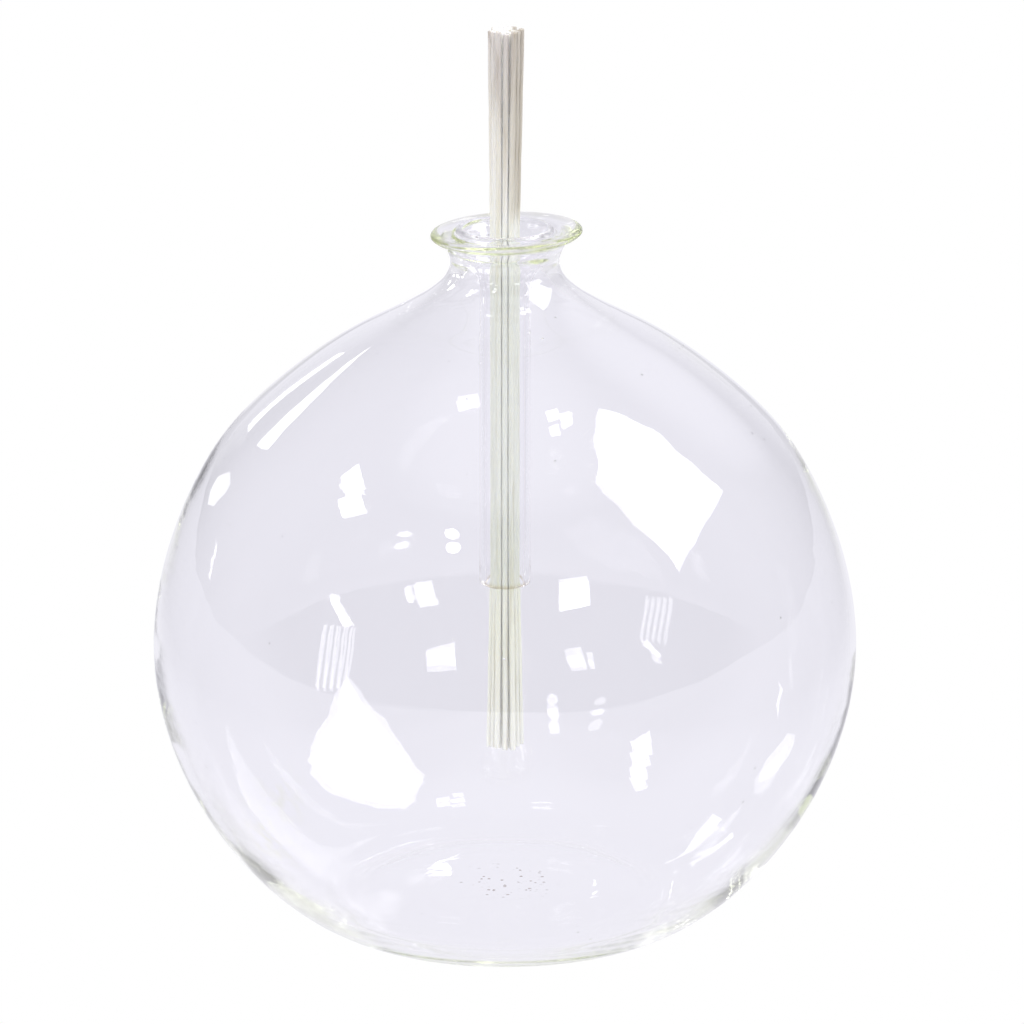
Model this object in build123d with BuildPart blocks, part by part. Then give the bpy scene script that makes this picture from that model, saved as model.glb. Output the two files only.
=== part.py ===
# Blown-glass oil lamp: an onion-shaped globe that holds the oil, a glass wick holder that
# hangs in its throat, and a round bundle of glass-fibre strands that is the wick.
# Millimetres, +Z up. The origin is the centre of the resting face under the globe.

import os
from math import cos, pi, radians, sin, sqrt, tan

from build123d import *

# Globe, outside
foot_radius = 33.0          # outer edge of the flat ring that the globe rests on
foot_ring_width = 2.0
foot_angle = 12.0           # rise of the wall where it leaves the foot ring
kick_height = 1.7           # height of the underside at its middle, inside the foot ring
belly_radius = 70.0
belly_height = 56.0
neck_radius = 10.7
neck_height = 134.5
flare_radius = 5.6          # sweep of the neck out into the lip
flare_angle = 70.0
lip_height = 141.0
lip_edge_radius = 0.65      # half the thickness of the fire-polished edge
lip_dish_angle = 8.0        # the top of the lip falls towards the middle
dish_radius = 10.6          # where the dished top turns down into the throat

# Globe, inside
belly_wall = 1.4
floor_height = 4.35         # height of the floor at its middle
underside_end_angle = 352.0 # direction of the underside where it meets the foot ring
throat_radius = 7.3
throat_height = 134.6
throat_end_angle = 300.0    # direction of the wall where the throat opens into the globe
seat_top_height = 139.6
seat_bottom_height = 135.6

# Wick holder
holder_clearance = 0.25     # between its funnel and the throat that it sits in
tube_radius = 5.1
bore_radius = 3.85
tube_end_height = 68.5
tube_edge_radius = 0.55
waist_radius = 4.8          # the tube draws in slightly below the funnel
waist_height = 126.7
waist_reach = 9.0           # how far below the waist the draw starts
funnel_height = 133.3       # where the tube opens into the funnel
funnel_radius = 5.7
funnel_half_angle = 28.0
funnel_wall = 1.2
rim_height = 140.75         # centre of the rounded rim
rim_bead_radius = 0.72
funnel_bend = 1.5           # half the height of the bend from funnel to bore, inside

# Wick
strand_radius = 0.56
strand_pitch = 1.18         # between the centres of neighbours
wick_foot_height = 34.2
wick_top_height = 180.7
foot_spread = 1.35          # how far the ends fan out, against the middle
top_spread = 1.27
foot_fan_height = 72.5      # the fanning ends start at these heights
top_fan_height = 140.75
top_lean = 0.25             # the free end leans this far towards +X
cut_unevenness = 0.35       # the strands are cut off this much longer or shorter
cut_step = 2.4              # turns the unevenness into no visible order, radians per strand

os.makedirs("parts", exist_ok=True)


def funnel_outside(height):
    """Outer radius of the holder's funnel at a height."""
    return funnel_radius + (height - funnel_height) * tan(radians(funnel_half_angle))


def seat_radius(height):
    """Radius of the globe's throat where the funnel sits in it."""
    return funnel_outside(height) + holder_clearance


def heading(degrees):
    """Unit direction in the profile plane, measured from the outward radius towards +Z."""
    angle = radians(degrees)
    return (cos(angle), sin(angle))


def curve(points, start, end):
    """Smooth curve through the points, with its directions at the two ends in degrees."""
    return Spline(*points, tangents=[heading(start), heading(end)], tangent_scalars=[1, 1])


def on_circle(centre, radius, degrees):
    """A point of a circle in the profile plane."""
    angle = radians(degrees)
    return (centre[0] + radius * cos(angle), centre[1] + radius * sin(angle))


# ---------------------------------------------------------------- globe
lip_edge_centre = (
    neck_radius + flare_radius * (1 - cos(radians(flare_angle))) + 0.2,
    lip_height - lip_edge_radius,
)
lip_under = on_circle(lip_edge_centre, lip_edge_radius, -flare_angle)
lip_outside = on_circle(lip_edge_centre, lip_edge_radius, 0)
lip_top = on_circle(lip_edge_centre, lip_edge_radius, 90 + lip_dish_angle)
dish_end = (dish_radius, lip_top[1] - (lip_top[0] - dish_radius) * tan(radians(lip_dish_angle)))
foot_inner_radius = foot_radius - foot_ring_width
belly = (belly_radius, belly_height)
inner_belly = (belly_radius - belly_wall, belly_height)
neck = (neck_radius, neck_height)
seat_top = (seat_radius(seat_top_height), seat_top_height)
seat_bottom = (seat_radius(seat_bottom_height), seat_bottom_height)
flare_middle = (11.9, 137.9)
throat_end = (8.3, 132.4)

# Points that the walls pass through, each a radius and a height
lower_wall = [(foot_radius, 0), (38.9, 1.9), (48.7, 8.9), (62.9, 28.0), belly]
upper_wall = [belly, (62.95, 86.0), (56.6, 97.0), (46.9, 107.2), (30.9, 119.0), (16.1, 127.5), neck]
throat_wall = [seat_bottom, (throat_radius, throat_height), throat_end]
inner_upper_wall = [
    throat_end,
    (11.4, 128.4),
    (24.6, 120.8),
    (45.9, 106.1),
    (55.5, 96.1),
    (61.6, 85.4),
    inner_belly,
]
inner_lower_wall = [
    inner_belly,
    (66.35, 40.74),
    (60.3, 26.5),
    (51.1, 14.1),
    (45.6, 8.8),
    (39.4, 4.5),
    (36.1, 3.3),
    (33.0, 2.75),
    (30.0, 2.85),
    (26.5, 3.45),
    (22.0, 3.9),
    (14.0, 4.2),
    (0, floor_height),
]
underside = [
    (0, kick_height),
    (14.0, 1.6),
    (22.0, 1.3),
    (26.5, 0.85),
    (29.0, 0.35),
    (foot_inner_radius, 0),
]

with BuildPart() as globe:
    with BuildSketch(Plane.XZ):
        with BuildLine():
            # Underside: pushed up in the middle, then the flat ring that the globe rests on
            curve(underside, 0, underside_end_angle)
            Line((foot_inner_radius, 0), (foot_radius, 0))
            # Outside, over the belly and the shoulder to the neck
            curve(lower_wall, foot_angle, 90)
            curve(upper_wall, 90, 90)
            # Neck swept out into the lip, which has a rounded edge and a dished top
            curve([neck, flare_middle, lip_under], 90, 90 - flare_angle)
            ThreePointArc(lip_under, lip_outside, lip_top)
            Line(lip_top, dish_end)
            # Conical seat for the holder
            curve([dish_end, seat_top], 180 + lip_dish_angle, 270 - funnel_half_angle)
            Line(seat_top, seat_bottom)
            # Inside, from the throat down to the gently raised floor
            curve(throat_wall, 270 - funnel_half_angle, throat_end_angle)
            curve(inner_upper_wall, throat_end_angle, 270)
            curve(inner_lower_wall, 270, 180)
            Line((0, floor_height), (0, kick_height))
        make_face()
    revolve(axis=Axis.Z)
globe.part.label = "globe"
export_step(globe.part, "parts/globe.step")


# ---------------------------------------------------------------- wick holder
rim_centre = (funnel_outside(rim_height) - rim_bead_radius, rim_height)
rim_outside = on_circle(rim_centre, rim_bead_radius, -funnel_half_angle)
rim_top = on_circle(rim_centre, rim_bead_radius, 90)
rim_inside = on_circle(rim_centre, rim_bead_radius, 180 - funnel_half_angle)
wall_across = funnel_wall / cos(radians(funnel_half_angle))
bore_top = funnel_height + (bore_radius + wall_across - funnel_radius) / tan(radians(funnel_half_angle))
tube_wall = tube_radius - bore_radius
edge_height = tube_end_height + tube_edge_radius
funnel_inside = (bore_radius + funnel_bend * tan(radians(funnel_half_angle)), bore_top + funnel_bend)
bore_end = (bore_radius, bore_top - funnel_bend)
waist_start = (tube_radius, waist_height - waist_reach)
funnel_start = (funnel_radius, funnel_height)

with BuildPart() as wick_holder:
    with BuildSketch(Plane.XZ):
        with BuildLine():
            # Fire-polished lower end, and the tube up to its waist
            ThreePointArc(
                (bore_radius, edge_height),
                (bore_radius + tube_wall / 2, tube_end_height),
                (tube_radius, edge_height),
            )
            Line((tube_radius, edge_height), waist_start)
            curve([waist_start, (waist_radius, waist_height), funnel_start], 90, 90 - funnel_half_angle)
            # Funnel with a rounded rim
            Line(funnel_start, rim_outside)
            ThreePointArc(rim_outside, rim_top, rim_inside)
            Line(rim_inside, funnel_inside)
            curve([funnel_inside, bore_end], 270 - funnel_half_angle, 270)
            Line(bore_end, (bore_radius, edge_height))
        make_face()
    revolve(axis=Axis.Z)
wick_holder.part.label = "wick_holder"
export_step(wick_holder.part, "parts/wick_holder.step")


# ---------------------------------------------------------------- wick
def strand_places():
    """Centres of one, six and twelve strands, packed as a hexagon."""
    places = [(0.0, 0.0)]
    for corner in range(6):
        angle = corner * pi / 3
        places.append((strand_pitch * cos(angle), strand_pitch * sin(angle)))
    for step in range(12):
        # Corners of the outer hexagon, and the middles of its sides
        reach = strand_pitch * (2 if step % 2 == 0 else sqrt(3))
        angle = step * pi / 6
        places.append((reach * cos(angle), reach * sin(angle)))
    return places


for number, (across, along) in enumerate(strand_places(), start=1):
    top = wick_top_height + cut_unevenness * cos(cut_step * number)
    # Height, spread from the middle of the bundle, and lean at each section
    sections = [
        (wick_foot_height, foot_spread, 0.0),
        (foot_fan_height, 1.0, 0.0),
        (top_fan_height, 1.0, 0.0),
        (top, top_spread, top_lean),
    ]
    with BuildPart() as wick_strand:
        for height, spread, lean in sections:
            with BuildSketch(Plane.XY.offset(height)):
                with Locations((across * spread + lean, along * spread)):
                    Circle(strand_radius)
        loft(ruled=True)
    wick_strand.part.label = f"wick_strand_{number:02d}"
    export_step(wick_strand.part, f"parts/wick_strand_{number:02d}.step")
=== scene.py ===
import math
import random

import bpy
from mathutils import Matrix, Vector


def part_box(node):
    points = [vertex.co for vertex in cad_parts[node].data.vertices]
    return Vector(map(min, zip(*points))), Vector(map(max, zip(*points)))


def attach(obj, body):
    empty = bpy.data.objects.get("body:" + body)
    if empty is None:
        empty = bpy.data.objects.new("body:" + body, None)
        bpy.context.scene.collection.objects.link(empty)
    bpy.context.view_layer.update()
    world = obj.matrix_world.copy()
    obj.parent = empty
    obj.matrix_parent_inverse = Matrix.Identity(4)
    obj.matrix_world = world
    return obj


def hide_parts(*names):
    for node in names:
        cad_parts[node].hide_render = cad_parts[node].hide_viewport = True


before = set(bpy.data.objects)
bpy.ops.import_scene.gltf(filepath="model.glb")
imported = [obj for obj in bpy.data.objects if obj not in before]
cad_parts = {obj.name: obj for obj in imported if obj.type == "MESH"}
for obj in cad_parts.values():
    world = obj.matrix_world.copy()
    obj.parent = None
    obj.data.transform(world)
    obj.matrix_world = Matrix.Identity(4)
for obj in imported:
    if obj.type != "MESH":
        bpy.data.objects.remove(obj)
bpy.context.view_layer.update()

globeRadius = 70                # millimetres
bellyHeight = 56                # of the widest part of the globe
globeLow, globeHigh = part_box("globe")
mm = globeHigh.x / globeRadius
lampMiddle = Vector((0, 0, bellyHeight * mm))
print("frame loaded")


# camera
cameraView = {
    "distance": 1.09,           # along the floor, from the lamp's axis
    "height": 0.417,
    "downTilt": 17.025,         # degrees below the horizon
    "sideways": 0.0014,
    "lens": 202.1,
    "sensor": 36.0,
    "nearest": 0.05,
    "farthest": 30,
    "bounces": 220,             # light runs a long way round inside the wall and the foot
    "throughBounces": 48,
    "brightestBounce": 6,
}


def addCamera(view):
    place = (view["sideways"], -view["distance"], view["height"])
    turn = (math.radians(90 - view["downTilt"]), 0, 0)
    bpy.ops.object.camera_add(location=place, rotation=turn)
    camera = bpy.context.object
    camera.name = "mainCamera"
    camera.data.sensor_width = view["sensor"]
    camera.data.lens = view["lens"]
    camera.data.clip_start = view["nearest"]
    camera.data.clip_end = view["farthest"]
    scene = bpy.context.scene
    scene.camera = camera
    scene.view_settings.view_transform = "Standard"
    scene.cycles.max_bounces = view["bounces"]
    scene.cycles.transmission_bounces = view["bounces"]
    scene.cycles.glossy_bounces = view["bounces"]
    scene.cycles.transparent_max_bounces = view["throughBounces"]
    scene.cycles.sample_clamp_indirect = view["brightestBounce"]


addCamera(cameraView)
print("camera placed")


# helpers for the pieces
def selectOnly(piece):
    if bpy.context.object and bpy.context.object.mode != "OBJECT":
        bpy.ops.object.mode_set(mode="OBJECT")
    bpy.ops.object.select_all(action="DESELECT")
    piece.select_set(True)
    bpy.context.view_layer.objects.active = piece


def drawOutline(name, points, closed, steps):
    # points are (radius, height) in millimetres
    bpy.ops.object.select_all(action="DESELECT")
    bpy.ops.curve.primitive_bezier_curve_add(location=(0, 0, 0))
    outline = bpy.context.object
    outline.name = name
    outline.data.name = name
    outline.data.dimensions = "3D"
    outline.data.resolution_u = steps
    spline = outline.data.splines[0]
    spline.bezier_points.add(len(points) - len(spline.bezier_points))
    for knot, point in zip(spline.bezier_points, points):
        knot.co = (point[0] * mm, 0, point[1] * mm)
        knot.handle_left_type = "AUTO"
        knot.handle_right_type = "AUTO"
    spline.use_cyclic_u = closed
    spline.resolution_u = steps
    bpy.ops.object.convert(target="MESH")
    return bpy.context.object


seamGap = 0.004                 # millimetres, closes the seam and the poles


def latheOutline(name, points, closed, steps, turns):
    piece = drawOutline(name, points, closed, steps)
    selectOnly(piece)
    bpy.ops.object.mode_set(mode="EDIT")
    bpy.ops.mesh.select_all(action="SELECT")
    bpy.ops.mesh.spin(steps=turns, angle=2 * math.pi, center=(0, 0, 0), axis=(0, 0, 1))
    bpy.ops.mesh.select_all(action="SELECT")
    bpy.ops.mesh.remove_doubles(threshold=seamGap * mm)
    bpy.ops.mesh.normals_make_consistent(inside=False)
    bpy.ops.mesh.select_all(action="DESELECT")
    bpy.ops.object.mode_set(mode="OBJECT")
    bpy.ops.object.shade_smooth()
    return piece


def settle(piece, material, body, slotName, *nodes):
    piece.data.materials.clear()
    piece.data.materials.append(material)
    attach(piece, body)
    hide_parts(*nodes)


# helpers for the materials
def link(tree, source, target):
    tree.links.new(source, target)


def mathNode(tree, operation, first, second=None):
    node = tree.nodes.new("ShaderNodeMath")
    node.operation = operation
    for socket, value in zip(node.inputs, (first, second)):
        if value is None:
            continue
        if isinstance(value, (int, float)):
            socket.default_value = value
        else:
            link(tree, value, socket)
    return node.outputs[0]


def smoothBand(tree, value, low, high, fromLow=0.0, toHigh=1.0):
    # fromLow below low, toHigh above high
    node = tree.nodes.new("ShaderNodeMapRange")
    node.interpolation_type = "SMOOTHSTEP"
    node.inputs["From Min"].default_value = low
    node.inputs["From Max"].default_value = high
    node.inputs["To Min"].default_value = fromLow
    node.inputs["To Max"].default_value = toHigh
    link(tree, value, node.inputs["Value"])
    return node.outputs["Result"]


def mixColours(tree, factor, first, second, blend="MIX"):
    node = tree.nodes.new("ShaderNodeMix")
    node.data_type = "RGBA"
    node.blend_type = blend
    for socket, value in ((node.inputs[0], factor), (node.inputs[6], first), (node.inputs[7], second)):
        if isinstance(value, (tuple, float, int)):
            socket.default_value = value
        else:
            link(tree, value, socket)
    return node.outputs[2]


def stretchedNoise(tree, place, stretch, scale, detail, rough=0.5):
    spread = tree.nodes.new("ShaderNodeMapping")
    spread.inputs["Scale"].default_value = stretch
    link(tree, place, spread.inputs["Vector"])
    grain = tree.nodes.new("ShaderNodeTexNoise")
    grain.inputs["Scale"].default_value = scale
    grain.inputs["Detail"].default_value = detail
    grain.inputs["Roughness"].default_value = rough
    link(tree, spread.outputs["Vector"], grain.inputs["Vector"])
    return grain.outputs["Fac"]


def newGroup(name, floats, colours):
    group = bpy.data.node_groups.new(name, "ShaderNodeTree")
    group.interface.new_socket("Place", in_out="INPUT", socket_type="NodeSocketVector")
    for socketName in floats:
        group.interface.new_socket(socketName, in_out="OUTPUT", socket_type="NodeSocketFloat")
    for socketName in colours:
        group.interface.new_socket(socketName, in_out="OUTPUT", socket_type="NodeSocketColor")
    start = group.nodes.new("NodeGroupInput")
    end = group.nodes.new("NodeGroupOutput")
    return group, start.outputs["Place"], end


def useGroup(tree, group):
    node = tree.nodes.new("ShaderNodeGroup")
    node.node_tree = group
    place = tree.nodes.new("ShaderNodeTexCoord")
    link(tree, place.outputs["Object"], node.inputs["Place"])
    return node


def radiusOf(tree, place):
    axes = tree.nodes.new("ShaderNodeSeparateXYZ")
    link(tree, place, axes.inputs[0])
    squareX = mathNode(tree, "MULTIPLY", axes.outputs["X"], axes.outputs["X"])
    squareY = mathNode(tree, "MULTIPLY", axes.outputs["Y"], axes.outputs["Y"])
    return mathNode(tree, "SQRT", mathNode(tree, "ADD", squareX, squareY)), axes


# blown glass
blownGlassLook = {
    "ior": 1.52,
    "absorbColour": (0.89, 0.925, 0.72, 1),
    "absorbDensity": 6.0,
    "wallTint": (0.992, 0.989, 1.0, 1),
    "rimTint": (0.88, 0.89, 0.66, 1),
    "streakTint": (0.95, 0.955, 0.84, 1),
    "waveScale": 26.0,          # per metre
    "waveHeight": 0.00030,
    "ringScale": 5.0,           # against the waves
    "ringHeight": 0.05,
    "seedScale": 420.0,
    "seedHeight": 0.00006,
    "hazeScale": 38.0,
    "haze": 0.012,
    "gritScale": 800.0,
    "gritReach": (6, 13),       # millimetres from the axis, all of it and none
    "gritColour": (0.16, 0.11, 0.08, 1),
    "rimFrom": (12.9, 14.9),    # radii between which the lip takes on its colour
    "rimHeights": (137.0, 138.5),
    "rimScale": 110.0,
    "streakScale": 330.0,
    "streakSide": (-52, -40),   # across the lamp, all of them and none
    "streakHeights": (2, 5, 10, 20),
}


def blownGlassDetail(look):
    group, place, end = newGroup("blownGlassDetail", ("Height", "Haze"), ("Tint",))
    radius, axes = radiusOf(group, place)
    # slow waves left by blowing and turning, drawn out around the axis
    waves = stretchedNoise(group, place, (1, 1, 1.7), look["waveScale"], 1.0)
    rings = stretchedNoise(group, place, (0.35, 0.35, 3.0), look["waveScale"] * look["ringScale"], 0.5)
    waves = mathNode(group, "MULTIPLY", waves, look["waveHeight"])
    rings = mathNode(group, "MULTIPLY", rings, look["waveHeight"] * look["ringHeight"])
    # seeds: rare tiny bubbles
    seeds = group.nodes.new("ShaderNodeTexVoronoi")
    seeds.inputs["Scale"].default_value = look["seedScale"]
    link(group, place, seeds.inputs["Vector"])
    nearSeed = smoothBand(group, seeds.outputs["Distance"], 0.03, 0.11, 1.0, 0.0)
    seedColour = group.nodes.new("ShaderNodeSeparateColor")
    link(group, seeds.outputs["Color"], seedColour.inputs[0])
    rare = smoothBand(group, seedColour.outputs[0], 0.955, 0.965)
    seedBump = mathNode(group, "MULTIPLY", mathNode(group, "MULTIPLY", nearSeed, rare), look["seedHeight"])
    height = mathNode(group, "ADD", mathNode(group, "ADD", waves, rings), seedBump)
    link(group, height, end.inputs["Height"])
    # faint haze of handling, in patches
    smear = smoothBand(group, stretchedNoise(group, place, (1, 1, 1), look["hazeScale"], 4.0), 0.55, 0.75)
    link(group, mathNode(group, "MULTIPLY", smear, look["haze"]), end.inputs["Haze"])
    # grit caught in the scar under the middle
    grit = group.nodes.new("ShaderNodeTexVoronoi")
    grit.inputs["Scale"].default_value = look["gritScale"]
    link(group, place, grit.inputs["Vector"])
    gritColour = group.nodes.new("ShaderNodeSeparateColor")
    link(group, grit.outputs["Color"], gritColour.inputs[0])
    nearGrit = smoothBand(group, grit.outputs["Distance"], 0.22, 0.34, 1.0, 0.0)
    someGrit = smoothBand(group, gritColour.outputs[1], 0.84, 0.85)
    allGrit, noGrit = look["gritReach"]
    inScar = smoothBand(group, radius, allGrit * mm, noGrit * mm, 1.0, 0.0)
    low = smoothBand(group, axes.outputs["Z"], 8 * mm, 9 * mm, 1.0, 0.0)
    dirty = mathNode(group, "MULTIPLY", mathNode(group, "MULTIPLY", nearGrit, someGrit),
                     mathNode(group, "MULTIPLY", inScar, low))
    # the lip's thick edge gathers the colour of the glass
    inner, outer = look["rimFrom"]
    outward = smoothBand(group, radius, inner * mm, outer * mm)
    under, over = look["rimHeights"]
    high = smoothBand(group, axes.outputs["Z"], under * mm, over * mm)
    drifts = stretchedNoise(group, place, (1, 1, 0.2), look["rimScale"], 1.0)
    uneven = smoothBand(group, drifts, 0.38, 0.62, 0.15, 1.0)
    gather = mathNode(group, "MULTIPLY", mathNode(group, "MULTIPLY", outward, high), uneven)
    tint = mixColours(group, gather, look["wallTint"], look["rimTint"])
    # a few drawn streaks of thicker, yellower glass low on one side
    draws = stretchedNoise(group, place, (1, 1, 0.6), look["streakScale"], 1.0)
    streaks = smoothBand(group, draws, 0.50, 0.62)
    allSide, noSide = look["streakSide"]
    side = smoothBand(group, axes.outputs["X"], allSide * mm, noSide * mm, 1.0, 0.0)
    start, full, fading, gone = look["streakHeights"]
    lowBand = smoothBand(group, axes.outputs["Z"], fading * mm, gone * mm, 1.0, 0.0)
    offFoot = smoothBand(group, axes.outputs["Z"], start * mm, full * mm)
    streaky = mathNode(group, "MULTIPLY", mathNode(group, "MULTIPLY", side, lowBand),
                       mathNode(group, "MULTIPLY", streaks, offFoot))
    tint = mixColours(group, streaky, tint, look["streakTint"])
    link(group, mixColours(group, dirty, tint, look["gritColour"]), end.inputs["Tint"])
    return group


lightThroughGlass = (0.93, 0.94, 0.92, 1)


def glassMaterial(name, detail, ior):
    material = bpy.data.materials.new(name)
    material.use_nodes = True
    tree = material.node_tree
    shader = tree.nodes["Principled BSDF"]
    shader.inputs["Roughness"].default_value = 0
    shader.inputs["IOR"].default_value = ior
    shader.inputs["Transmission Weight"].default_value = 1
    marks = useGroup(tree, detail)
    link(tree, marks.outputs["Tint"], shader.inputs["Base Color"])
    link(tree, marks.outputs["Haze"], shader.inputs["Roughness"])
    bump = tree.nodes.new("ShaderNodeBump")
    bump.inputs["Distance"].default_value = 1.0
    bump.inputs["Strength"].default_value = 1.0
    link(tree, marks.outputs["Height"], bump.inputs["Height"])
    link(tree, bump.outputs["Normal"], shader.inputs["Normal"])
    # shadow and diffuse rays pass, so that lamps light the wick through the glass
    rays = tree.nodes.new("ShaderNodeLightPath")
    passing = mathNode(tree, "MAXIMUM", rays.outputs["Is Shadow Ray"], rays.outputs["Is Diffuse Ray"])
    clear = tree.nodes.new("ShaderNodeBsdfTransparent")
    clear.inputs["Color"].default_value = lightThroughGlass
    mix = tree.nodes.new("ShaderNodeMixShader")
    link(tree, passing, mix.inputs[0])
    link(tree, shader.outputs[0], mix.inputs[1])
    link(tree, clear.outputs[0], mix.inputs[2])
    link(tree, mix.outputs[0], tree.nodes["Material Output"].inputs["Surface"])
    return material


def makeBlownGlass(look):
    material = glassMaterial("blownGlass", blownGlassDetail(look), look["ior"])
    tree = material.node_tree
    absorb = tree.nodes.new("ShaderNodeVolumeAbsorption")
    absorb.inputs["Color"].default_value = look["absorbColour"]
    absorb.inputs["Density"].default_value = look["absorbDensity"]
    link(tree, absorb.outputs["Volume"], tree.nodes["Material Output"].inputs["Volume"])
    return material


blownGlass = makeBlownGlass(blownGlassLook)

tubeGlassLook = {
    "ior": 1.48,
    "tint": (0.985, 0.984, 0.99, 1),
    "endTint": (0.80, 0.74, 0.62, 1),
    "waveScale": 210.0,
    "waveHeight": 0.00002,
    "haze": 0.02,
    "hazeScale": 90.0,
    "stainHeights": (68.7, 69.5),
}


def tubeGlassDetail(look):
    group, place, end = newGroup("tubeGlassDetail", ("Height", "Haze"), ("Tint",))
    axes = group.nodes.new("ShaderNodeSeparateXYZ")
    link(group, place, axes.inputs[0])
    # drawn tube is streaked along its length
    draws = stretchedNoise(group, place, (1, 1, 0.04), look["waveScale"], 2.0)
    link(group, mathNode(group, "MULTIPLY", draws, look["waveHeight"]), end.inputs["Height"])
    smear = smoothBand(group, stretchedNoise(group, place, (1, 1, 0.5), look["hazeScale"], 4.0), 0.5, 0.8)
    link(group, mathNode(group, "MULTIPLY", smear, look["haze"]), end.inputs["Haze"])
    # the cut end keeps a warm stain from oil
    stained, clean = look["stainHeights"]
    stain = smoothBand(group, axes.outputs["Z"], stained * mm, clean * mm, 1.0, 0.0)
    link(group, mixColours(group, stain, look["tint"], look["endTint"]), end.inputs["Tint"])
    return group


tubeGlass = glassMaterial("tubeGlass", tubeGlassDetail(tubeGlassLook), tubeGlassLook["ior"])
print("glass made")


# wick fibre
fibreLook = {
    "heights": [               # millimetres up the lamp, and the colour there
        (34.2, (0.86, 0.85, 0.83)),
        (48.0, (0.86, 0.85, 0.79)),
        (60.0, (0.85, 0.85, 0.76)),
        (70.0, (0.83, 0.83, 0.74)),
        (90.0, (0.90, 0.89, 0.87)),
        (125.0, (0.90, 0.89, 0.85)),
        (137.0, (0.93, 0.93, 0.85)),
        (146.0, (0.74, 0.72, 0.65)),
        (165.0, (0.68, 0.66, 0.61)),
        (180.7, (0.60, 0.57, 0.55)),
    ],
    "stainColour": (0.50, 0.45, 0.37, 1),
    "stainScale": 900.0,
    "brightColour": (0.86, 0.86, 0.84, 1),
    "brightScale": 700.0,
    "paintedLightBetweenColour": (0.97, 0.965, 0.93, 1),  # painted light where strands face each other, against the shade between them
    "paintedLightRadii": (2.3, 2.85),
    "shadeColour": (0.42, 0.38, 0.31, 1),   # the side away from the window, above the lip
    "shadeAmount": 0.62,
    "sootColour": (0.34, 0.29, 0.25, 1),
    "sootScale": 330.0,
    "sootHeights": (150, 181),
    "roughness": 0.72,
    "glow": 0.6,
    "glowReach": 0.0012,
    "hairScale": 3200.0,
    "hairHeight": 0.00006,
}


def fibreDetail(look):
    group, place, end = newGroup("fibreDetail", ("Height", "Roughness"), ("Colour",))
    radius, axes = radiusOf(group, place)
    low, high = look["heights"][0][0], look["heights"][-1][0]
    along = group.nodes.new("ShaderNodeMapRange")
    along.inputs["From Min"].default_value = low * mm
    along.inputs["From Max"].default_value = high * mm
    link(group, axes.outputs["Z"], along.inputs["Value"])
    ramp = group.nodes.new("ShaderNodeValToRGB")
    stops = ramp.color_ramp.elements
    while len(stops) < len(look["heights"]):
        stops.new(0.5)
    for stop, (height, colour) in zip(stops, look["heights"]):
        stop.position = (height - low) / (high - low)
        stop.color = (*colour, 1)
    link(group, along.outputs["Result"], ramp.inputs["Fac"])
    # streaks along the strands: stained filaments and brighter ones
    streaks = stretchedNoise(group, place, (1, 1, 0.03), look["stainScale"], 3.0, 0.6)
    stained = smoothBand(group, streaks, 0.52, 0.72, 0.0, 0.55)
    colour = mixColours(group, stained, ramp.outputs["Color"], look["stainColour"])
    glints = stretchedNoise(group, place, (1, 1, 0.05), look["brightScale"], 2.0)
    bright = smoothBand(group, glints, 0.56, 0.70, 0.0, 0.45)
    colour = mixColours(group, bright, colour, look["brightColour"])
    # patches of soot and old oil near the burning end
    sootFrom, sootFull = look["sootHeights"]
    burnt = smoothBand(group, axes.outputs["Z"], sootFrom * mm, sootFull * mm)
    patch = smoothBand(group, stretchedNoise(group, place, (1, 1, 0.12), look["sootScale"], 3.0), 0.47, 0.66)
    soot = mathNode(group, "MULTIPLY", mathNode(group, "MULTIPLY", burnt, patch), 0.6)
    colour = mixColours(group, soot, colour, look["sootColour"])
    # painted light between the strands, against the shade there; painted shade above the lip on the side away
    # from the window
    inner, outer = look["paintedLightRadii"]
    paintedLightBetween = smoothBand(group, radius, inner * mm, outer * mm, 1.0, 0.0)
    colour = mixColours(group, paintedLightBetween, colour, look["paintedLightBetweenColour"])
    above = smoothBand(group, axes.outputs["Z"], 141 * mm, 147 * mm, 0.0, look["shadeAmount"])
    away = smoothBand(group, axes.outputs["X"], 0.2 * mm, 2.6 * mm)
    colour = mixColours(group, mathNode(group, "MULTIPLY", above, away), colour, look["shadeColour"])
    link(group, colour, end.inputs["Colour"])
    hairs = stretchedNoise(group, place, (1, 1, 0.02), look["hairScale"], 2.0)
    link(group, mathNode(group, "MULTIPLY", hairs, look["hairHeight"]), end.inputs["Height"])
    link(group, smoothBand(group, streaks, 0.3, 0.7, look["roughness"], 0.5), end.inputs["Roughness"])
    return group


def makeFibre(look):
    material = bpy.data.materials.new("wickFibre")
    material.use_nodes = True
    tree = material.node_tree
    shader = tree.nodes["Principled BSDF"]
    shader.inputs["IOR"].default_value = 1.45
    shader.inputs["Subsurface Weight"].default_value = look["glow"]
    shader.inputs["Subsurface Scale"].default_value = look["glowReach"]
    shader.inputs["Subsurface Radius"].default_value = (1, 0.95, 0.8)
    detail = useGroup(tree, fibreDetail(look))
    link(tree, detail.outputs["Colour"], shader.inputs["Base Color"])
    link(tree, detail.outputs["Roughness"], shader.inputs["Roughness"])
    bump = tree.nodes.new("ShaderNodeBump")
    bump.inputs["Distance"].default_value = 1.0
    bump.inputs["Strength"].default_value = 0.8
    link(tree, detail.outputs["Height"], bump.inputs["Height"])
    link(tree, bump.outputs["Normal"], shader.inputs["Normal"])
    return material


wickFibre = makeFibre(fibreLook)
print("fibre made")


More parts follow.
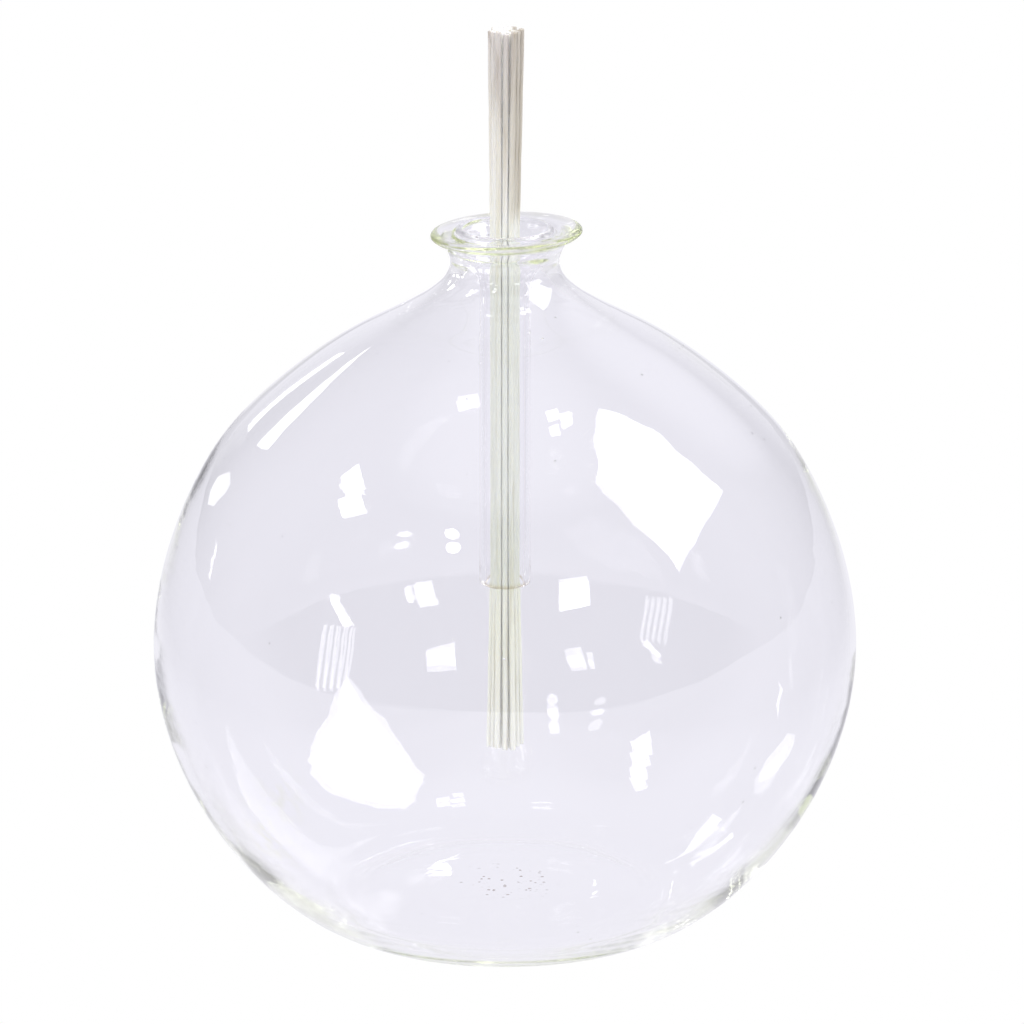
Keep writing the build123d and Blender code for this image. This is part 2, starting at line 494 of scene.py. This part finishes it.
# globe
globeShape = {
    "steps": 4,
    "turns": 180,
    "lipTilt": 2.3,             # degrees, the left side low
    "lipFrom": (10.55, 137.0),  # radius and height from which the lip tilts
    "lipShift": 0.35,           # to the right
    "lipScale": 0.978,
    "lipPivot": 139.6,          # height that the lip turns about
    "outline": [
        (0, 1.7), (7, 1.68), (14, 1.6), (22, 1.3), (26.5, 0.85), (29, 0.35), (31, 0.05), (33, 0.05),
        (34.8, 0.4), (36.9, 1.1), (40.441, 2.664), (46.891, 7.25), (52.523, 12.827),
        (57.476, 19.016), (61.695, 25.726), (65.14, 32.865), (67.748, 40.35), (69.413, 48.098),
        (70, 56), (69.647, 62.491), (68.636, 68.914), (67.038, 75.216), (64.917, 81.363),
        (62.328, 87.327), (59.248, 93.053), (55.53, 98.383), (51.171, 103.206), (46.408, 107.633),
        (41.405, 111.787), (36.169, 115.645), (30.679, 119.129), (24.972, 122.248), (19.302, 125.432),
        (13.944, 129.11), (11.5, 131.9), (10.7, 134.5), (10.99, 136.258), (11.837, 137.823),
        (13.19, 138.979), (14.807, 139.739), (15.235, 140.35), (14.494, 140.994), (12.5, 140.71),
        (10.6, 140.446), (9.853, 140.17), (9.3, 139.6), (8.24, 137.6), (7.173, 135.6),
        (7.235, 134.764), (7.558, 133.962), (7.902, 133.168), (8.3, 132.4), (9.9, 129.7),
        (12.409, 127.485), (17.819, 124.019), (23.637, 121.262), (29.339, 118.274), (34.781, 114.836),
        (39.974, 111.03), (44.942, 106.936), (49.704, 102.603), (54.091, 97.894), (57.818, 92.651),
        (60.864, 86.981), (63.432, 81.078), (65.564, 75.004), (67.192, 68.776), (68.233, 62.425),
        (68.6, 56), (68.044, 48.392), (66.352, 40.742), (63.754, 33.439), (60.295, 26.501),
        (56.05, 20.03), (51.11, 14.098), (45.604, 8.781), (39.355, 4.461), (36.1, 3.3), (33, 2.75),
        (30, 2.85), (26.5, 3.45), (22, 3.9), (14, 4.2), (7, 4.33), (0, 4.35),
    ],
}


def makeGlobe(shape):
    globe = latheOutline("glassGlobe", shape["outline"], False, shape["steps"], shape["turns"])
    radius, height = shape["lipFrom"]
    for vertex in globe.data.vertices:
        place = vertex.co / mm
        vertex.select = math.hypot(place.x, place.y) > radius and place.z > height
    selectOnly(globe)
    bpy.ops.object.mode_set(mode="EDIT")
    pivot = (0, 0, shape["lipPivot"] * mm)
    scale = shape["lipScale"]
    bpy.ops.transform.rotate(value=math.radians(shape["lipTilt"]), orient_axis="Y", center_override=pivot)
    bpy.ops.transform.resize(value=(scale, scale, 1), center_override=pivot)
    bpy.ops.transform.translate(value=(shape["lipShift"] * mm, 0, 0))
    bpy.ops.object.mode_set(mode="OBJECT")
    settle(globe, blownGlass, "globe_body", "globe_glass", "globe")


makeGlobe(globeShape)
print("globe made")


# wick holder
holderShape = {
    "steps": 5,
    "turns": 120,
    "outline": [
        (3.85, 69.05), (4.0, 68.66), (4.475, 68.5), (4.95, 68.66), (5.1, 69.05), (5.1, 72), (5.1, 90),
        (5.1, 110), (5.06, 117.7), (4.9, 123), (4.8, 126.7), (4.98, 130.4), (5.7, 133.3), (7.35, 136.4),
        (9.3, 140.15), (9.66, 140.75), (9.45, 141.26), (8.94, 141.47), (8.43, 141.26), (8.1, 140.5),
        (6.3, 137.1), (4.6, 133.9), (4.05, 132.4), (3.85, 130.7), (3.85, 120), (3.85, 100), (3.85, 80),
        (3.85, 72),
    ],
}


def makeHolder(shape):
    holder = latheOutline("glassWickHolder", shape["outline"], True, shape["steps"], shape["turns"])
    settle(holder, tubeGlass, "holder_body", "holder_glass", "wick_holder")


makeHolder(holderShape)
print("wick holder made")


# wick
wickShape = {
    "strandRadius": 0.575,
    "pitch": 1.18,
    "filaments": 7,             # lobes around one strand
    "lobeDepth": 0.9,
    "footHeight": 34.2,
    "footFan": 72.5,
    "topFan": 140.75,
    "topHeight": 180.66,
    "footSpread": 1.35,
    "topSpread": 1.27,
    "topLean": 0.25,
    "cutUnevenness": 0.30,
    "cutStep": 2.4,             # from one strand's cut to the next
    "footUnevenness": 0.25,
    "footStep": 1.7,
    "turnsPerStrand": 1.6,
    "knotSpacing": 4.4,
    "knotSteps": 3,
    "sharpFrom": 50,            # degrees between faces that stay sharp
    "seed": 7,
}


def strandPlaces(shape):
    places = [(0.0, 0.0)]
    for corner in range(6):
        angle = corner * math.pi / 3
        places.append((shape["pitch"] * math.cos(angle), shape["pitch"] * math.sin(angle)))
    for step in range(12):
        reach = shape["pitch"] * (2 if step % 2 == 0 else math.sqrt(3))
        angle = step * math.pi / 6
        places.append((reach * math.cos(angle), reach * math.sin(angle)))
    return places


def addStrandProfile(shape):
    bpy.ops.object.select_all(action="DESELECT")
    bpy.ops.mesh.primitive_circle_add(vertices=2 * shape["filaments"], radius=shape["strandRadius"] * mm)
    profile = bpy.context.object
    profile.name = "strandProfile"
    for vertex in profile.data.vertices:
        if vertex.index % 2:
            vertex.co *= shape["lobeDepth"]
    bpy.ops.object.convert(target="CURVE")
    return bpy.context.object


def strandPath(shape, number, across, along):
    top = shape["topHeight"] + shape["cutUnevenness"] * math.cos(shape["cutStep"] * number)
    foot = shape["footHeight"] + shape["footUnevenness"] * (1 + math.sin(shape["footStep"] * number))
    count = int((top - foot) / shape["knotSpacing"])
    points = []
    for step in range(count + 1):
        height = foot + (top - foot) * step / count
        if height < shape["footFan"]:
            share = (shape["footFan"] - height) / (shape["footFan"] - shape["footHeight"])
            spread, lean = 1 + (shape["footSpread"] - 1) * share, 0.0
        elif height < shape["topFan"]:
            spread, lean = 1.0, 0.0
        else:
            share = (height - shape["topFan"]) / (shape["topHeight"] - shape["topFan"])
            spread, lean = 1 + (shape["topSpread"] - 1) * share, shape["topLean"] * share
        points.append((across * spread + lean, along * spread, height))
    return points


def makeStrand(shape, profile, number, across, along):
    points = strandPath(shape, number, across, along)
    bpy.ops.object.select_all(action="DESELECT")
    bpy.ops.curve.primitive_bezier_curve_add(location=(0, 0, 0))
    strand = bpy.context.object
    strand.name = f"wickStrand.{number:02d}"
    strand.data.dimensions = "3D"
    strand.data.twist_mode = "MINIMUM"
    spline = strand.data.splines[0]
    spline.bezier_points.add(len(points) - 2)
    turn = random.random() * 6.28
    for index, (knot, point) in enumerate(zip(spline.bezier_points, points)):
        knot.co = Vector(point) * mm
        knot.handle_left_type = "AUTO"
        knot.handle_right_type = "AUTO"
        knot.tilt = turn + shape["turnsPerStrand"] * 2 * math.pi * index / len(points)
    spline.resolution_u = shape["knotSteps"]
    strand.data.bevel_mode = "OBJECT"
    strand.data.bevel_object = profile
    strand.data.use_fill_caps = True
    bpy.ops.object.convert(target="MESH")
    strand = bpy.context.object
    selectOnly(strand)
    bpy.ops.object.mode_set(mode="EDIT")
    bpy.ops.mesh.select_all(action="SELECT")
    bpy.ops.mesh.remove_doubles(threshold=0.003 * mm)
    bpy.ops.mesh.normals_make_consistent(inside=False)
    bpy.ops.object.mode_set(mode="OBJECT")
    bpy.ops.object.shade_smooth_by_angle(angle=math.radians(shape["sharpFrom"]))
    settle(strand, wickFibre, "wick_body", "wick_fibre", f"wick_strand_{number:02d}")


def makeWick(shape):
    random.seed(shape["seed"])
    profile = addStrandProfile(shape)
    for number, (across, along) in enumerate(strandPlaces(shape), start=1):
        makeStrand(shape, profile, number, across, along)
    bpy.data.objects.remove(profile)


makeWick(wickShape)
print("wick made")


# floor and room
roomLook = {
    "floorSize": 12.0,
    "floorHeight": -0.0002,
    "seen": (1.0, 1.0, 1.0, 1),              # floor and air as the camera sees them
    "bright": (0.885, 0.878, 0.94, 1),       # white sweep, as the glass sees it
    "front": (1.02, 1.01, 1.06, 1),          # its lit near end
    "mirrored": (0.06, 0.06, 0.07, 1),       # the rest of the studio, as the glass mirrors it
    "through": (0.32, 0.31, 0.35, 1),        # and as it comes out through the glass to the front
    "throughBehind": (0.80, 0.79, 0.85, 1),  # and from behind
    "onFibre": (1.6, 1.58, 1.6, 1),          # soft light that reaches the wick
    "sweepFront": -1.25,
    "sweepHalfWidth": 0.2,
    "sweepSides": 0.62,                      # share of the brightness beyond the sweep's sides, mirrored
    "sweepSidesThrough": 0.85,               # and through the glass
    "glowSide": 33.0,                        # degrees to the right of straight behind
    "glowHeight": 34.0,                      # degrees up
    "glowSize": 17.0,
    "wallHeight": 4.0,                       # the lit wall straight behind
    "wallSize": 25.0,
    "ceilingSize": 24.0,                     # the light straight above
}


def makeFloor(look):
    bpy.ops.object.select_all(action="DESELECT")
    bpy.ops.mesh.primitive_plane_add(size=look["floorSize"], location=(0, 0, look["floorHeight"]))
    floor = bpy.context.object
    floor.name = "studioFloor"
    material = bpy.data.materials.new("paleFloor")
    material.use_nodes = True
    tree = material.node_tree
    tree.nodes.clear()
    place = tree.nodes.new("ShaderNodeTexCoord")
    axes = tree.nodes.new("ShaderNodeSeparateXYZ")
    link(tree, place.outputs["Object"], axes.inputs[0])
    inFront = smoothBand(tree, axes.outputs["Y"], look["sweepFront"] - 0.1, look["sweepFront"] + 0.1)
    sideways = mathNode(tree, "ABSOLUTE", axes.outputs["X"])
    halfWidth = look["sweepHalfWidth"]
    nearby = smoothBand(tree, axes.outputs["Y"], -0.5, 0.0)
    sweep = mixColours(tree, nearby, look["front"], look["bright"])
    shades = []
    for away, sides in ((look["through"], look["sweepSidesThrough"]), (look["mirrored"], look["sweepSides"])):
        across = smoothBand(tree, sideways, halfWidth * 0.6, halfWidth * 1.4, 1.0, sides)
        onSweep = mathNode(tree, "MULTIPLY", inFront, across)
        shades.append(mixColours(tree, onSweep, away, sweep))
    rays = tree.nodes.new("ShaderNodeLightPath")
    seenByGlass = mixColours(tree, rays.outputs["Is Transmission Ray"], shades[1], shades[0])
    colour = mixColours(tree, rays.outputs["Is Camera Ray"], seenByGlass, look["seen"])
    light = tree.nodes.new("ShaderNodeEmission")
    link(tree, colour, light.inputs["Color"])
    output = tree.nodes.new("ShaderNodeOutputMaterial")
    link(tree, light.outputs[0], output.inputs["Surface"])
    floor.data.materials.append(material)


def glowTowards(tree, direction, side, up, size):
    # 1 towards a direction, 0 a size away from it, all in degrees
    side, up = math.radians(side), math.radians(up)
    towards = tree.nodes.new("ShaderNodeVectorMath")
    towards.operation = "DOT_PRODUCT"
    link(tree, direction, towards.inputs[0])
    towards.inputs[1].default_value = (math.sin(side) * math.cos(up), math.cos(side) * math.cos(up),
                                       math.sin(up))
    edge = math.cos(math.radians(size))
    return smoothBand(tree, towards.outputs["Value"], 2 * edge - 1, 1.0)


def makeRoom(look):
    world = bpy.data.worlds.new("studioRoom")
    bpy.context.scene.world = world
    world.use_nodes = True
    tree = world.node_tree
    tree.nodes.clear()
    place = tree.nodes.new("ShaderNodeTexCoord")
    window = glowTowards(tree, place.outputs["Generated"], look["glowSide"], look["glowHeight"],
                         look["glowSize"])
    wall = glowTowards(tree, place.outputs["Generated"], 0.0, look["wallHeight"], look["wallSize"])
    ceiling = glowTowards(tree, place.outputs["Generated"], 0.0, 90.0, look["ceilingSize"])
    glow = mathNode(tree, "MAXIMUM", mathNode(tree, "MAXIMUM", window, wall), ceiling)
    rays = tree.nodes.new("ShaderNodeLightPath")
    axes = tree.nodes.new("ShaderNodeSeparateXYZ")
    link(tree, place.outputs["Generated"], axes.inputs[0])
    behind = smoothBand(tree, axes.outputs["Y"], -0.25, 0.25)
    through = mixColours(tree, behind, look["through"], look["throughBehind"])
    dim = mixColours(tree, rays.outputs["Is Transmission Ray"], look["mirrored"], through)
    room = mixColours(tree, glow, dim, look["bright"])
    room = mixColours(tree, rays.outputs["Is Diffuse Ray"], room, look["onFibre"])
    colour = mixColours(tree, rays.outputs["Is Camera Ray"], room, look["seen"])
    background = tree.nodes.new("ShaderNodeBackground")
    link(tree, colour, background.inputs["Color"])
    output = tree.nodes.new("ShaderNodeOutputWorld")
    link(tree, background.outputs[0], output.inputs["Surface"])


makeFloor(roomLook)
makeRoom(roomLook)
print("floor and room made")


# lights
# each panel: its brightness and its corners, as degrees to the right of the front and degrees up
panelDistance = 1.2
panels = {
    "sideBox": (5, [(113.7, 62.4), (114, 48.3), (108.1, 32.8), (83.3, 31.2), (65.6, 25.8), (61.4, 44.9),
                    (69.3, 64.6), (91.3, 65.7)]),
    "windowUpper": (8, [(-96.8, 48.1), (-98, 53.2), (-82.7, 53), (-87.7, 48.3)]),
    "windowLower": (8, [(-86.6, 44.9), (-82.3, 51.4), (-70.8, 47.8), (-75.8, 41.8)]),
    "spotUpper": (14, [(-22.5, 52), (-22.8, 50.2), (-24.9, 49.1), (-27.6, 49.5), (-29.4, 50.9),
                       (-29.4, 52.8), (-27.2, 53.9), (-24.3, 53.6)]),
    "spotLower": (14, [(-19.8, 45.7), (-20.3, 44.1), (-22.3, 43.2), (-24.7, 43.5), (-26.2, 44.8),
                       (-25.8, 46.5), (-23.8, 47.5), (-21.2, 47.2)]),
    "slitUpper": (4, [(-43.9, 47.2), (-44.5, 45.5), (-47.4, 44.2), (-49.8, 44.3), (-49.4, 46.1),
                      (-46.4, 47.5)]),
    "slitLower": (4, [(-42.6, 43.1), (-43.1, 41.5), (-45.9, 40.1), (-48.1, 40.2), (-47.6, 41.7),
                      (-44.9, 43.3)]),
    "leftPane": (6, [(-34.3, 30.9), (-27.9, 32.5), (-23.4, 26.7), (-29.8, 24.8)]),
    "leftPaneEdge": (8, [(-37.3, 29.6), (-35.2, 30), (-32.3, 26.2), (-34.4, 25.6)]),
    "rightPane": (8, [(20.5, 32.9), (31.4, 32), (30.4, 26.5), (19.1, 26.1)]),
    "rearLeft": (3, [(-135.5, 3.9), (-140.2, 1), (-143.3, 1.3), (-144.1, 4.2), (-139.5, 10.9),
                     (-133.7, 12.2), (-132.9, 9.6)]),
    "rearLow": (5, [(-137.6, 23.3), (-141, 20.6), (-143.2, 22.4), (-154.6, 27.9), (-141.2, 27.7),
                    (-134.8, 26.1)]),
    "rearStrip": (4, [(-150.4, 11.9), (-153.4, 9.1), (-156.7, 15.4), (-155.8, 18.4)]),
    "rearSlit": (4, [(-116.6, 2.5), (-118.3, 2.6), (-122, 4.8), (-124, 6.3), (-119.7, 5)]),
    "rearStripe1": (14, [(-177.1, 13), (-177.6, 12.6), (-178, 12.4), (-177.7, 12.7)]),
    "rearStripe2": (14, [(-176.7, 14.8), (-177.3, 13.5), (-178.1, 13), (-177.6, 13.8)]),
    "rearStripe3": (14, [(-176.7, 15.8), (-177.1, 14.8), (-177.6, 14.8), (-177.5, 16.1)]),
    "rearStripe4": (14, [(-176.5, 18), (-176.9, 17.1), (-177.6, 16.8), (-177.4, 17.7)]),
    "rearSpot1": (12, [(175.9, 18.2), (175.8, 17.6), (175.6, 18.1), (175.7, 18.6)]),
    "rearSpot2": (12, [(175.5, 20.9), (175.3, 20.3), (175, 20.3), (175.2, 20.9)]),
    "ceilingA": (8, [(105.8, 79.3), (109.9, 75.5), (96.1, 75.2), (87.1, 78.4)]),
    "ceilingB": (8, [(101.6, 75), (106.6, 71.4), (94.9, 71.6), (87.1, 74.5)]),
    "ceilingC": (8, [(81.8, 78.3), (89, 75.8), (81.3, 74.9), (74.4, 77.2)]),
    "ceilingD": (5, [(-115.4, 76), (-125.5, 80.4), (-115.1, 82.3), (-104.6, 77.5)]),
    "blindTop": (9, [(-63.1, 20.8), (-59.8, 21.1), (-52.1, 17.8), (-54.6, 16.2)]),
    "blindSlat1": (4, [(-61.4, 14.6), (-60.7, 14.8), (-59.5, -0.7), (-60.5, -0.9)]),
    "blindSlat2": (4, [(-59.1, 15.3), (-58.4, 15.4), (-57.2, -0.1), (-58.1, -0.4)]),
    "blindSlat3": (4, [(-56.8, 15.8), (-56.1, 16), (-54.9, 0.4), (-55.9, 0.2)]),
    "blindSlat4": (4, [(-54.5, 16.5), (-53.8, 16.7), (-52.7, 0.9), (-53.6, 0.7)]),
    "blindSlat5": (4, [(-52.2, 17), (-51.5, 17.2), (-50.5, 1.3), (-51.5, 1.1)]),
}


def addPanel(name, brightness, corners):
    bpy.ops.object.select_all(action="DESELECT")
    bpy.ops.mesh.primitive_circle_add(vertices=len(corners), fill_type="NGON", location=(0, 0, 0))
    panel = bpy.context.object
    panel.name = name
    for vertex, (side, up) in zip(panel.data.vertices, corners):
        a, e = math.radians(side), math.radians(up)
        away = Vector((math.sin(a) * math.cos(e), -math.cos(a) * math.cos(e), math.sin(e)))
        vertex.co = lampMiddle + away * panelDistance
    panel.visible_camera = False
    panel.visible_diffuse = False
    # those behind the lamp only show in its far walls
    panel.visible_glossy = not name.startswith("rear")
    material = bpy.data.materials.new(name)
    material.use_nodes = True
    tree = material.node_tree
    tree.nodes.clear()
    light = tree.nodes.new("ShaderNodeEmission")
    light.inputs["Color"].default_value = (1, 1, 1, 1)
    light.inputs["Strength"].default_value = brightness
    output = tree.nodes.new("ShaderNodeOutputMaterial")
    link(tree, light.outputs[0], output.inputs["Surface"])
    panel.data.materials.append(material)


for name, (brightness, corners) in panels.items():
    addPanel(name, brightness, corners)
print("lights placed")
